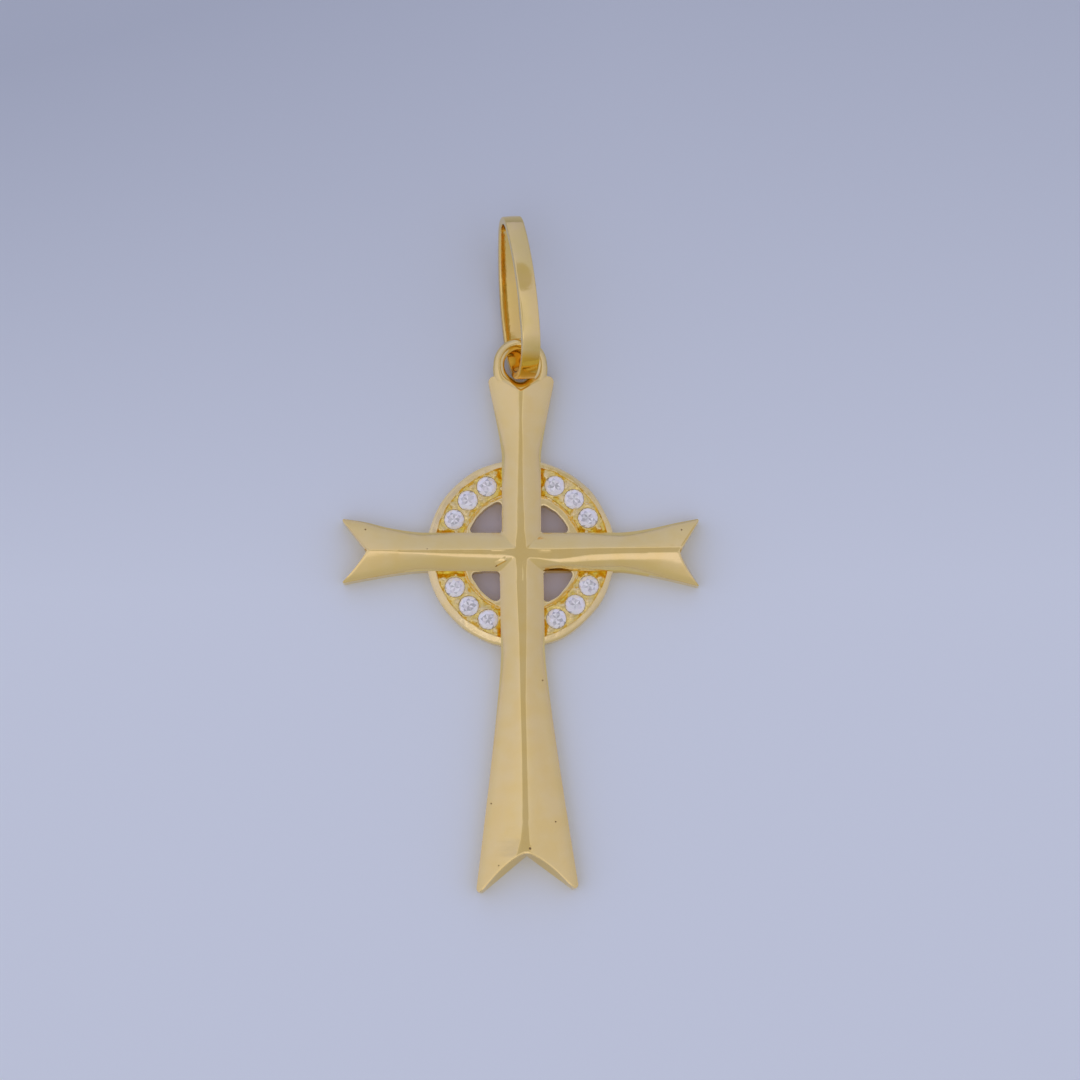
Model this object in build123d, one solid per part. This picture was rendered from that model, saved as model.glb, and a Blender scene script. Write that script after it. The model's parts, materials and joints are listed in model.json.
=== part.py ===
from build123d import *
import math
import os

# A cross pendant lying on its flat back: four ridged arms with notched ends, a ring set with
# round stones, a wire loop on the upper arm, and an oval bail through the loop.
# Millimetres. The origin is the middle of the hub on the back face, +Y runs up to the bail,
# +Z comes out of the front.

# Arms
RIDGE_HEIGHT = 1.80
EDGE_HEIGHT = 1.20
CREST_RISE = 0.05
ARM_WIDTH = 2.32
LOWER_ARM_WIDTH = 2.60
UPPER_ARM_LENGTH = 10.65
SIDE_ARM_LENGTH = 10.85
LOWER_ARM_LENGTH = 20.20
UPPER_END_WIDTH = 4.05
SIDE_END_WIDTH = 3.92
LOWER_END_WIDTH = 6.15
CREST_WIDTH = 0.40
SIDE_CREST_END_WIDTH = 0.14
UPPER_CREST_END_WIDTH = 0.36
LOWER_CREST_END_WIDTH = 0.62
NOTCH_HALF_ANGLE = 51.0
UPPER_NOTCH_DEPTH = 1.10
SIDE_NOTCH_DEPTH = 1.40
LOWER_NOTCH_DEPTH = 2.20
LOWER_NOTCH_BEVEL = 0.25
TIP_RADIUS = 0.14
FLARE_SETBACK = 0.16
KNEE_SETBACK = 0.70
SIDE_KNEE_SETBACK = 1.20
LOWER_KNEE_SETBACK = 2.10

# Ring plate with two rims and the sunk channel between them
RING_OUTER_RADIUS = 5.64
RING_INNER_RADIUS = 3.42
RIM_HEIGHT = 1.08
CHANNEL_HEIGHT = 0.88
OUTER_RIM_WIDTH = 0.45
INNER_RIM_WIDTH = 0.28
RIM_EDGE_RADIUS = 0.08
WINDOW_LEDGE = 0.08
WINDOW_CORNER_RADIUS = 0.26

# Round brilliant stones and their seats
STONE_DIAMETER = 1.20
STONE_GAP = 0.21
STONES_PER_QUADRANT = 3
STONE_CIRCLE_SHIFT = 0.06
TABLE_RATIO = 0.56
CROWN_RATIO = 0.15
GIRDLE_RATIO = 0.03
PAVILION_RATIO = 0.43
PAVILION_BREAK = 0.40
CROWN_MAINS = 8
GIRDLE_LIFT = 0.02
SEAT_CLEARANCE = 0.015
SEAT_DRILL_DIAMETER = 0.60

# Grains raised beside the stones
GRAIN_DIAMETER = 0.36
GRAIN_HEIGHT = 0.22
GRAIN_ROUNDING = 0.13
GRAIN_REACH = 0.41

# Wire loop standing in the notch of the upper arm
LOOP_WIRE_DIAMETER = 0.60
LOOP_RADIUS = 1.25
LOOP_HALF_ANGLE = 54.0
LOOP_TIP_RADIUS = 0.45
LOOP_HEIGHT = 1.20
LOOP_SOLDER_DEPTH = 0.10

# Oval bail
BAIL_LENGTH = 9.85
BAIL_LOWER_RADIUS = 2.85
BAIL_UPPER_RADIUS = 1.60
BAIL_SIDE_RADIUS = 9.00
BAIL_BAND_WIDTH = 1.10
BAIL_THICKNESS = 0.45
BAIL_EDGE_CHAMFER = 0.05
BAIL_LEAN = 11.5
BAIL_YAW = 5.0
BAIL_SLACK = 0.50

# Shares of the flare at which the roof of an arm has a section
FLARE_STATIONS = (0.0, 0.3, 0.5, 0.75, 1.0)

# Distance by which cutting shapes run past what they cut
PAST = 1.0


def polar(radius, degrees):
    """Point on a circle about the origin."""
    angle = math.radians(degrees)
    return (radius * math.cos(angle), radius * math.sin(angle))


def flare_edge(waist, end, start, knee, length):
    """Side line of one arm from its waist to its end, in the arm's own X and Y."""
    return Bezier((start, waist), (start + knee, waist), (length, end))


def notch_reach(depth, end):
    """Half width of a notch where it opens, at most that of the arm's end."""
    return min(depth * math.tan(math.radians(NOTCH_HALF_ANGLE)), end)


def arm_plan(side, waist, end, start, length, notch_depth, notch_half):
    """Plan outline of one arm along +X, with its notch and rounded tips."""
    upper = [Line((0, waist), (start, waist)), side]
    if notch_half < end:
        upper.append(Line((length, end), (length, notch_half)))
    upper.append(Line((length, notch_half), (length - notch_depth, 0)))
    lower = [edge.mirror(Plane.XZ) for edge in upper]
    root = Line((0, -waist), (0, waist))
    outline = make_face(upper + lower + [root])
    tips = [corner for corner in outline.vertices() if corner.X > length - 0.01]
    return fillet(tips, TIP_RADIUS)


def roof_section(x, half, crest_half):
    """Section across an arm: flat back, upright walls, two slopes and a rounded crest."""
    shoulder = RIDGE_HEIGHT - CREST_RISE
    fall = (shoulder - EDGE_HEIGHT) / (half - crest_half)
    wide = half + PAST
    low = EDGE_HEIGHT - fall * PAST
    outline = Polyline((-crest_half, shoulder), (-wide, low), (-wide, 0), (wide, 0), (wide, low),
                       (crest_half, shoulder))
    crest = ThreePointArc((crest_half, shoulder), (0, RIDGE_HEIGHT), (-crest_half, shoulder))
    return Plane(origin=(x, 0, 0), x_dir=(0, 1, 0), z_dir=(1, 0, 0)) * make_face([outline, crest])


def arm(waist, end, length, knee, notch_depth, notch_half, end_crest):
    """One arm along +X from the hub's middle."""
    start = RING_OUTER_RADIUS + FLARE_SETBACK
    side = flare_edge(waist, end, start, knee, length)
    points = [side @ share for share in FLARE_STATIONS]
    sections = [roof_section(0, waist, CREST_WIDTH / 2)]
    for point in points:
        share = (point.X - start) / (length - start)
        crest = CREST_WIDTH + share * (end_crest - CREST_WIDTH)
        sections.append(roof_section(point.X, point.Y, crest / 2))
    sections.append(roof_section(length + PAST, end, end_crest / 2))
    roof = loft(sections, ruled=True)
    plan = extrude(arm_plan(side, waist, end, start, length, notch_depth, notch_half), RIDGE_HEIGHT + PAST)
    return roof & plan


def lower_bevel():
    """Wedge that slopes the walls of the lower arm's notch, along +X."""
    slope = math.tan(math.radians(NOTCH_HALF_ANGLE))
    apex = LOWER_ARM_LENGTH - LOWER_NOTCH_DEPTH
    back = LOWER_ARM_LENGTH + PAST

    def wedge(z, inset):
        tip = apex - inset
        spread = (back - tip) * slope
        return Plane.XY.offset(z) * make_face(Polyline((tip, 0), (back, spread), (back, -spread), (tip, 0)))

    return loft([wedge(0, 0), wedge(RIDGE_HEIGHT, LOWER_NOTCH_BEVEL)], ruled=True)


def stone_places():
    """Plan position and turn of each stone, quadrant by quadrant from +X."""
    middle = (RING_OUTER_RADIUS - OUTER_RIM_WIDTH + RING_INNER_RADIUS + INNER_RIM_WIDTH) / 2
    radius = middle + STONE_CIRCLE_SHIFT
    pitch = 2 * math.degrees(math.asin((STONE_DIAMETER + STONE_GAP) / 2 / radius))
    places = []
    for quadrant in range(4):
        for index in range(STONES_PER_QUADRANT):
            turn = 45 + 90 * quadrant + pitch * (index - (STONES_PER_QUADRANT - 1) / 2)
            places.append((radius, turn))
    return places, pitch


def ring_plate():
    """Ring with rims, channel and four rounded windows beside the hub."""
    plate = Cylinder(RING_OUTER_RADIUS, RIM_HEIGHT, align=(Align.CENTER, Align.CENTER, Align.MIN))
    plate = fillet(plate.edges().sort_by(Axis.Z)[-1], RIM_EDGE_RADIUS)
    depth = RIM_HEIGHT - CHANNEL_HEIGHT
    groove = Circle(RING_OUTER_RADIUS - OUTER_RIM_WIDTH) - Circle(RING_INNER_RADIUS + INNER_RIM_WIDTH)
    plate -= Pos(0, 0, CHANNEL_HEIGHT) * extrude(groove, depth + PAST)
    side_x = ARM_WIDTH / 2 + WINDOW_LEDGE
    lower_x = LOWER_ARM_WIDTH / 2 + WINDOW_LEDGE
    side_y = ARM_WIDTH / 2 + WINDOW_LEDGE
    for x_sign, y_sign in ((1, 1), (-1, 1), (-1, -1), (1, -1)):
        near_x = side_x if y_sign > 0 else lower_x
        size = RING_INNER_RADIUS
        corner = Pos(x_sign * (near_x + size / 2), y_sign * (side_y + size / 2)) * Rectangle(size, size)
        window = Circle(RING_INNER_RADIUS) & corner
        window = fillet(window.vertices(), WINDOW_CORNER_RADIUS)
        plate -= Pos(0, 0, -PAST) * extrude(window, RIM_HEIGHT + 2 * PAST)
    return plate


def grains():
    """Beads of metal at the inner and outer side of every gap beside a stone."""
    places, pitch = stone_places()
    radius = places[0][0]
    grain = Cylinder(GRAIN_DIAMETER / 2, 2 * GRAIN_HEIGHT)
    grain = fillet(grain.edges().sort_by(Axis.Z)[-1], GRAIN_ROUNDING)
    beads = []
    for quadrant in range(4):
        for index in range(STONES_PER_QUADRANT + 1):
            turn = 45 + 90 * quadrant + pitch * (index - STONES_PER_QUADRANT / 2)
            for side in (-1, 1):
                x, y = polar(radius + side * GRAIN_REACH, turn)
                beads.append(Pos(x, y, CHANNEL_HEIGHT) * grain)
    return beads


def stone_levels():
    """Heights of culet, lower girdle, upper girdle and table."""
    girdle = CHANNEL_HEIGHT + GIRDLE_LIFT
    upper = girdle + GIRDLE_RATIO * STONE_DIAMETER
    return (girdle - PAVILION_RATIO * STONE_DIAMETER, girdle, upper, upper + CROWN_RATIO * STONE_DIAMETER)


def seat():
    """Space of one stone with its clearance, and the hole drilled below it."""
    culet, girdle, upper, table = stone_levels()
    radius = STONE_DIAMETER / 2 + SEAT_CLEARANCE
    table_radius = TABLE_RATIO * STONE_DIAMETER / 2 + SEAT_CLEARANCE
    outline = Polyline(
        (0, culet - SEAT_CLEARANCE), (radius, girdle - SEAT_CLEARANCE), (radius, upper + SEAT_CLEARANCE),
        (table_radius, table + SEAT_CLEARANCE), (0, table + SEAT_CLEARANCE), (0, culet - SEAT_CLEARANCE))
    pocket = revolve(Plane.XZ * make_face(outline), Axis.Z)
    drill = Pos(0, 0, -PAST) * Cylinder(SEAT_DRILL_DIAMETER / 2, PAST + girdle,
                                        align=(Align.CENTER, Align.CENTER, Align.MIN))
    return pocket + drill


def loop_centre(radius):
    """Height on the page of an arc that touches both legs of the loop's teardrop."""
    half = math.radians(LOOP_HALF_ANGLE)
    notch_apex = UPPER_ARM_LENGTH - UPPER_NOTCH_DEPTH
    tip_y = notch_apex + (LOOP_WIRE_DIAMETER / 2 - LOOP_SOLDER_DEPTH) / math.sin(half)
    return tip_y + radius / math.sin(half)


def loop():
    """Teardrop of round wire whose point is soldered into the upper notch."""
    half = math.radians(LOOP_HALF_ANGLE)
    centre_y = loop_centre(LOOP_RADIUS)
    small_y = loop_centre(LOOP_TIP_RADIUS)
    dx, dy = math.cos(half), -math.sin(half)
    big = (LOOP_RADIUS * dx, centre_y + LOOP_RADIUS * dy)
    small = (LOOP_TIP_RADIUS * dx, small_y + LOOP_TIP_RADIUS * dy)
    path = Wire([
        ThreePointArc(big, (0, centre_y + LOOP_RADIUS), (-big[0], big[1])),
        Line((-big[0], big[1]), (-small[0], small[1])),
        ThreePointArc((-small[0], small[1]), (0, small_y - LOOP_TIP_RADIUS), small),
        Line(small, big),
    ])
    path = Pos(0, 0, LOOP_HEIGHT) * path
    profile = Plane(origin=path @ 0, z_dir=path % 0) * Circle(LOOP_WIRE_DIAMETER / 2)
    return sweep(profile, path)


def cross():
    """Arms, ring, grains and loop as one soldered casting."""
    side_end, upper_end, lower_end = SIDE_END_WIDTH / 2, UPPER_END_WIDTH / 2, LOWER_END_WIDTH / 2
    side = arm(ARM_WIDTH / 2, side_end, SIDE_ARM_LENGTH, SIDE_KNEE_SETBACK, SIDE_NOTCH_DEPTH, side_end,
               SIDE_CREST_END_WIDTH)
    upper = arm(ARM_WIDTH / 2, upper_end, UPPER_ARM_LENGTH, KNEE_SETBACK, UPPER_NOTCH_DEPTH,
                notch_reach(UPPER_NOTCH_DEPTH, upper_end), UPPER_CREST_END_WIDTH)
    lower = arm(LOWER_ARM_WIDTH / 2, lower_end, LOWER_ARM_LENGTH, LOWER_KNEE_SETBACK, LOWER_NOTCH_DEPTH,
                notch_reach(LOWER_NOTCH_DEPTH, lower_end), LOWER_CREST_END_WIDTH)
    lower -= lower_bevel()
    body = side + Rot(0, 0, 180) * side + Rot(0, 0, 90) * upper + Rot(0, 0, -90) * lower
    plate = ring_plate() + grains()
    pocket = seat()
    for radius, turn in stone_places()[0]:
        x, y = polar(radius, turn)
        plate -= Pos(x, y, 0) * pocket
    return body + plate + loop()


def stone(first_turn):
    """One round brilliant: table, eight kites, stars, girdle facets and pavilion."""
    culet, girdle, upper, table = stone_levels()
    radius = STONE_DIAMETER / 2
    table_radius = TABLE_RATIO * radius
    half_step = 180 / CROWN_MAINS
    flat_share = math.cos(math.radians(half_step))
    crown_fall = (table - upper) / (radius - table_radius)
    star_radius = (table_radius + radius) / 2
    star_height = table - crown_fall * (star_radius * flat_share - table_radius)
    pavilion_rise = (girdle - culet) / radius
    lower_radius = radius * PAVILION_BREAK
    lower_height = culet + pavilion_rise * lower_radius * flat_share

    def at(r, step, z):
        x, y = polar(r, first_turn + half_step * step)
        return (x, y, z)

    facets = [[at(table_radius, 2 * i, table) for i in range(CROWN_MAINS)]]
    for i in range(CROWN_MAINS):
        k = 2 * i
        star = at(star_radius, k + 1, star_height)
        back_star = at(star_radius, k - 1, star_height)
        corner = at(table_radius, k, table)
        rim = [at(radius, k + j, upper) for j in (-1, 0, 1)]
        belt = [at(radius, k + j, girdle) for j in (-1, 0, 1)]
        low = at(lower_radius, k + 1, lower_height)
        back_low = at(lower_radius, k - 1, lower_height)
        facets.append([corner, star, rim[1], back_star])
        facets.append([corner, at(table_radius, k + 2, table), star])
        facets.append([star, rim[2], rim[1]])
        facets.append([back_star, rim[1], rim[0]])
        facets.append([rim[1], rim[2], belt[2], belt[1]])
        facets.append([rim[0], rim[1], belt[1], belt[0]])
        facets.append([belt[1], belt[2], low])
        facets.append([belt[0], belt[1], back_low])
        facets.append([belt[1], low, (0, 0, culet), back_low])
    faces = [Face(Wire.make_polygon(points, close=True)) for points in facets]
    return Solid(Shell(faces))


def bail_arcs(inset):
    """Closed oval of four arcs, about the middle of its lower end, along +X."""
    lower = BAIL_LOWER_RADIUS
    upper = BAIL_UPPER_RADIUS
    run = BAIL_LENGTH - lower - upper
    to_lower = BAIL_SIDE_RADIUS - lower
    to_upper = BAIL_SIDE_RADIUS - upper
    side_x = (to_lower ** 2 - to_upper ** 2 + run ** 2) / (2 * run)
    side_y = math.sqrt(to_lower ** 2 - side_x ** 2)
    lower_turn = math.degrees(math.atan2(side_y, -side_x))
    upper_turn = math.degrees(math.atan2(side_y, run - side_x))
    r_low = lower - inset
    r_up = upper - inset
    r_side = BAIL_SIDE_RADIUS - inset
    low_top = polar(r_low, lower_turn)
    up_top = (run + polar(r_up, upper_turn)[0], polar(r_up, upper_turn)[1])
    crown = (side_x, r_side - side_y)
    outline = [
        ThreePointArc(low_top, (-r_low, 0), (low_top[0], -low_top[1])),
        ThreePointArc((low_top[0], -low_top[1]), (crown[0], -crown[1]), (up_top[0], -up_top[1])),
        ThreePointArc((up_top[0], -up_top[1]), (run + r_up, 0), up_top),
        ThreePointArc(up_top, crown, low_top),
    ]
    return make_face(outline), crown[1]


def bail_plane():
    """Plane of the bail: X along its length, Y up, Z across the band, about the hinge line."""
    yaw = math.radians(BAIL_YAW)
    lean = math.radians(BAIL_LEAN)
    half_depth = bail_arcs(0)[1]
    height = half_depth * math.cos(lean) + BAIL_BAND_WIDTH / 2 * math.sin(lean)
    along = Vector(-math.sin(yaw), math.cos(yaw), 0)
    across = Vector(math.cos(lean) * math.cos(yaw), math.cos(lean) * math.sin(yaw), -math.sin(lean))
    drop = (height - LOOP_HEIGHT) / math.cos(lean)
    reach = math.sqrt((BAIL_LOWER_RADIUS - BAIL_THICKNESS / 2) ** 2 - drop ** 2)
    x = drop * math.sin(lean) - reach * math.sin(yaw)
    y = loop_centre(LOOP_RADIUS) + LOOP_RADIUS + BAIL_SLACK
    return Plane(origin=(x, y, height), x_dir=along, z_dir=across)


def bail():
    """Flat band bent into an oval, its lower end through the loop."""
    band = bail_arcs(0)[0] - bail_arcs(BAIL_THICKNESS)[0]
    solid = extrude(band, BAIL_BAND_WIDTH / 2, both=True)
    rims = solid.edges().filter_by(lambda edge: abs(abs(edge.center().Z) - BAIL_BAND_WIDTH / 2) < 0.001)
    solid = chamfer(rims, BAIL_EDGE_CHAMFER)
    return bail_plane() * solid


def write(name, shape):
    """Save one sub-part as parts/NAME.step."""
    export_step(shape, f"parts/{name}.step")


os.makedirs("parts", exist_ok=True)
write("cross", cross())
write("bail", bail())
for number, (ring_radius, turn_deg) in enumerate(stone_places()[0], 1):
    stone_x, stone_y = polar(ring_radius, turn_deg)
    write(f"stone_{number:02d}", Pos(stone_x, stone_y, 0) * stone(turn_deg))

hinge = bail_plane()
print("bail hinge point", hinge.origin)
print("bail hinge axis", hinge.z_dir)
print("loop centre y", loop_centre(LOOP_RADIUS))
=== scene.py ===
import json
import math
import random

import bpy
import numpy as np
from mathutils import Matrix, Vector, kdtree, noise
from mathutils.geometry import delaunay_2d_cdt


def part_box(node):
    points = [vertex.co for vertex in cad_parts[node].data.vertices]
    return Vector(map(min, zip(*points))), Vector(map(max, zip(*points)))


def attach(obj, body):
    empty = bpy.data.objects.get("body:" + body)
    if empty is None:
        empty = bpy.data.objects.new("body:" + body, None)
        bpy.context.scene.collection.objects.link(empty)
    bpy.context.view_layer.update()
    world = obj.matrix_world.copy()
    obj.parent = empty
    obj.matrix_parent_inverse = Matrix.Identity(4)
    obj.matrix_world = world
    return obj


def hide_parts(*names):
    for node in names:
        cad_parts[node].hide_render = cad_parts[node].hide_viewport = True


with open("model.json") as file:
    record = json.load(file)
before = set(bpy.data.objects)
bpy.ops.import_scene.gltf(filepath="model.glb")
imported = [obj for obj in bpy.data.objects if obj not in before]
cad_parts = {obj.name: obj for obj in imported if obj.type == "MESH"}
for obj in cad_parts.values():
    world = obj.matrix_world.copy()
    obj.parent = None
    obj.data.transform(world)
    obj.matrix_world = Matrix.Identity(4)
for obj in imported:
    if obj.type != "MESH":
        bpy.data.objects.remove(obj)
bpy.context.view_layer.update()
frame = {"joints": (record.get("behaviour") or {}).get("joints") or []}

# A yellow gold cross pendant set with twelve stones, lying face up on a pale table. Lengths are in
# millimetres, and turn into metres where a mesh, a material or the camera is made. A row of waves has
# their height, their scale and a seed.
MM = 0.001

# Camera, looking steeply down from the foot of the cross
CAMERA_DISTANCE = 270.0
CAMERA_TILT = 7.0
CAMERA_ROLL = -0.66
CAMERA_TARGET = (1.12, 0.86, 0.0)
CAMERA_LENS = 149.5
CAMERA_SENSOR = 36.0
CAMERA_CLIP = 10.0

# Arms of the casting
RIDGE_HEIGHT = 1.80
EDGE_HEIGHT = 1.20
ARM_WIDTH = 2.32
LOWER_ARM_WIDTH = 2.60
ARM_EDGE_RADIUS = 0.40
END_EDGE_RADIUS = 0.12
FLARE_START = 5.80
SWELL_SETBACK = 1.50
SWELL_SPREAD = 0.95
CREST_BLEND = 0.024
BEVEL_SLOPE = 0.22
SLOPE_BULGE = 0.30
ARM_WAVES = ((0.005, 1.9, 3.0), (0.0016, 0.55, 8.0))
# Least softening of the sides by the hub, and where it starts and stops growing
SIDE_SOFTENING = (0.30, 3.0, 6.0)

# Hub: reach of the meeting arms, its height, the reach of its flat middle and its rise beyond that
HUB_SPAN = 1.75
HUB_HEIGHT = 1.772
HUB_FLAT = 0.25
HUB_RISE = 0.035
HUB_BLEND = 0.01
VALLEY_BLEND = 0.07

# Bevelled walls of the notches: least width, share of the way to the tip at which the width stops
# changing, power of its bow, and how far down the arm a wall is reckoned
BEVEL_LEAST = 0.04
BEVEL_HOLD = 0.92
BEVEL_POWER = 0.7
NOTCH_REACH = 2.0

# File marks by the hub: start, end, widths of the gentle and the steep side, and height
HUB_MARKS = (
    ((-0.85, -0.50), (-1.62, -0.88), 0.23, 0.06, 0.07),
)
MARK_RAMP = 0.16
MARK_STEPS = 16

# Casting pits: arm, place along and across it, radius
PITS = (
    ("lower", 17.78, 0.22, 0.080),
    ("lower", 16.20, 1.77, 0.045),
    ("lower", 7.75, 1.14, 0.045),
    ("lower", 15.05, -2.05, 0.045),
    ("lower", 18.75, -1.66, 0.040),
    ("left", 9.35, -1.30, 0.050),
    ("right", 9.60, 1.27, 0.050),
)
PIT_DEPTH = 0.05
# Dark brown painted into the pits and into small random spots of the gold, as painted shade
PIT_PAINTED_SHADE = (0.34, 0.22, 0.08)
PIT_BLUR = 0.7
PIT_RINGS = (0.0, 0.35, 0.65, 0.85, 1.0, 1.2)
PIT_SIDES = 12

# Spacing of the mesh: along the outlines, along the crests, over the hub and the ring, under the
# arms. Then the steps of an arm's rounded tip and the reach of the ring's fine rows
PLAN_STEP = 0.10
CREST_STEP = 0.12
FINE_STEP = 0.04
COARSE_STEP = 0.12
CORNER_STEPS = 8
PLATE_ROWS = (3.20, 5.63)
# Small shifts that keep a grid's points off the lines
HUB_GRID_SHIFT = (0.003, 0.002)
PLATE_GRID_SHIFT = (0.001, 0.002)
# Where an outline starts, how near two of its points may come, and how short of a tip the rows stop
OUTLINE_START = 2.0
MERGE_DISTANCE = 0.02
END_GAP = 0.05
# Rows of points beside the flat band's edge, beside the bevel's, and down the facet
BAND_OFFSETS = (-0.04, -0.015, 0.0, 0.015, 0.04)
BEVEL_OFFSETS = (-0.03, 0.0, 0.03)
FACET_GAP = 0.07
FACET_SHARES = np.linspace(0.02, 0.97, 12)
LEAST_OUT = 0.015
# Rows of points along a notch's crease, on the wall below it and on the top beyond it
CREASE_SHARES = np.linspace(0.01, 0.97, 60)
CREASE_ROUNDS = 3
WALL_SHARES = (0.35, 0.70)
CREASE_OFFSETS = (0.04, 0.08, 0.13)

# Softened upper edges: depth and rows of points as shares of their width
EDGE_DROP = 0.26
EDGE_RINGS = (0.12, 0.26, 0.34)
EDGE_CLEARANCE = 1.15
EDGE_TOLERANCE = 0.97
EDGE_STEP = 0.02
# Least height of a slab's top, how near its points are joined, and the angles from which edges are sharp
LOWEST_TOP = 0.03
JOIN_WITHIN = 1e-5
SHARP_ANGLE = 38.0
BAIL_SHARP_ANGLE = 50.0
GRAIN_SHARP_ANGLE = 60.0
STONE_SHARP_ANGLE = 1.0

# Ring plate
RING_OUTER_RADIUS = 5.65
RING_SHIFT = (-0.07, -0.05)
RING_INNER_RADIUS = 3.42
RIM_HEIGHT = 1.08
RIM_EDGE_RADIUS = 0.16
RIM_FALL = 0.12
RIM_WAVES = ((0.018, 0.7, 17.0), (0.006, 0.26, 21.0))
RIM_UNEVENNESS = 0.05
RIM_TURNS = 3.5
RIM_SEED = 9.0
RIM_STEPS = 360
OUTER_RIM_RISE = 0.07
OUTER_RIM_WAVES = ((0.05, 0.8, 2.0),)
INNER_RIM_WIDTH = 0.30
INNER_RIM_RISE = 0.09
INNER_RIM_WAVES = ((0.05, 0.6, 12.0),)
GROOVE_SETBACK = 0.15
GROOVE_WIDTH = 0.040
GROOVE_DEPTH = 0.09
GROOVE_WAVES = ((0.06, 0.9, 27.0),)

# Graved channel between the rims, its pockets beside the arms and the collars round the stones
CHANNEL_HEIGHT = 0.90
CHANNEL_OUTER_RADIUS = 5.19
CHANNEL_LEAST_DEPTH = 0.02
CHANNEL_WAVES = ((0.11, 0.34, 41.0), (0.025, 0.11, 5.0))
POCKET_DEPTH = 0.15
POCKET_WIDTH = 0.25
COLLAR_HEIGHT = 0.07
COLLAR_GAP = 0.04
COLLAR_WIDTH = 0.06
COLLAR_WAVES = ((2.2, 0.45, 33.0),)

# Windows of the ring: signs of X and Y, and outer radius
WINDOWS = ((1, 1, 3.17), (-1, 1, 3.40), (-1, -1, 3.34), (1, -1, 3.40))
WINDOW_LEDGE = -0.02
WINDOW_CORNER_RADIUS = 0.26
WINDOW_EDGE_RADIUS = 0.10
WINDOW_UNEVENNESS = 0.07
WINDOW_TURNS = 1.6
WINDOW_SEED = 5.0
WINDOW_MIDDLE = 0.9
WINDOW_STEP = 0.08
WINDOW_CORNER_STEPS = 6
WINDOW_ARC_STEPS = 24

# Grains beside the stones: beads of metal on mounds of the channel's floor. A bead's noise moves on
# by BEAD_SEEDS from foot to top and from one bead to the next
GRAIN_REACH = 0.41
GRAIN_GAP = -0.09
GRAIN_SIZES = (0.16, 0.24)
GRAIN_TOPS = (1.00, 1.06)
GRAIN_FOOT = 0.60
GRAIN_SHIFTS_OUT = (-0.06, 0.05)
GRAIN_SHIFTS_ALONG = (-0.12, 0.12)
GRAIN_SPOT_DRAW = 4
GRAIN_TOP_DRAW = 5
MOUND_HEIGHT = 0.15
MOUND_SPREAD = 1.1
BEAD_ROWS = 8
BEAD_SIDES = 16
BEAD_TILT = 0.9
BEAD_TILT_SEEDS = ((0.5, 1.5), (7.5, 3.5))
BEAD_FLATNESS = 2.5
BEAD_UNEVENNESS = 0.42
BEAD_TURNS = 1.1
BEAD_SEEDS = (0.4, 3.7)

# Stones and their seats
STONE_RADIUS = 0.60
STONE_NODES = [f"stone_{number:02d}" for number in range(1, 13)]
STONES_PER_QUADRANT = 3
TABLE_SHARE = 0.56
TABLE_MAIN_SHARE = 0.50
STAR_SHARE = 0.78
PAVILION_BREAK = 0.40
PAVILION_DEPTH = 0.516
GIRDLE_HEIGHT = 0.90
STONE_BELT = 0.036
STONE_TURN = 0.35
SEAT_GAP = 0.012
SEAT_RING_OFFSETS = (-0.002, 0.004)
SEAT_STEPS = 56
DRILL_RADIUS = 0.30
DRILL_STEPS = 28
# Painted brightness of the facets, standing in for a cut stone's light and dark flashes, in even and in odd
# sectors of a stone, and how far it varies
FACET_SHADES = {
    "table main": (0.62, 0.98, 0.20),
    "table edge": (0.92, 0.92, 0.20),
    "star": (0.80, 0.80, 0.25),
    "kite": (1.00, 1.00, 0.06),
    "upper left": (0.92, 0.92, 0.14),
    "upper right": (1.00, 1.00, 0.06),
    "girdle": (0.95, 0.95, 0.05),
    "pavilion": (0.70, 0.70, 0.10),
}
# Start of the first stone's random draws, then the facets painted dark as dark flashes: their share among
# those darker than a limit, that limit, and their brightness
STONE_DRAW = 100
DARK_FLASH_SHARE = 0.14
DARK_FLASH_LIMIT = 0.99
DARK_FLASH_SHADE = 0.48

# Wire loop
LOOP_WIRE_RADIUS = 0.33
LOOP_RADIUS = 1.28
LOOP_TIP_RADIUS = 0.80
LOOP_SHIFT = 0.05
LOOP_SEAT = 9.50
LOOP_HALF_ANGLE = 54.0
LOOP_HEIGHT = 1.20
LOOP_SOLDER_DEPTH = 0.10
LOOP_STEPS = 96
LOOP_TIP_STEPS = 16
LOOP_LEG_STEPS = 6
LOOP_SIDES = 28
# Extra width of the wire by degrees below the loop's middle
LOOP_EXTRA_TURNS = (0.0, 20.0, 36.0, 60.0, 90.0)
LOOP_EXTRA = (0.0, 0.10, 0.22, 0.12, 0.12)

# Bail band
BAIL_LENGTH = 9.85
BAIL_LOWER_RADIUS = 2.85
BAIL_UPPER_RADIUS = 1.60
BAIL_SIDE_RADIUS = 9.00
BAIL_WIDTH = 1.10
BAIL_THICKNESS = 0.45
BAIL_EDGE = 0.07
BAIL_INNER_SWELL = 0.03
BAIL_OUTER_SWELL = 0.02
BAIL_SIDESTEP = -0.06
BAIL_UPPER_STEPS = 40
BAIL_SIDE_STEPS = 90
BAIL_LOWER_STEPS = 60
BAIL_EDGE_STEPS = 4
BAIL_ROWS = (-0.9, -0.6, -0.3, 0.0, 0.3, 0.6, 0.9)
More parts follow.
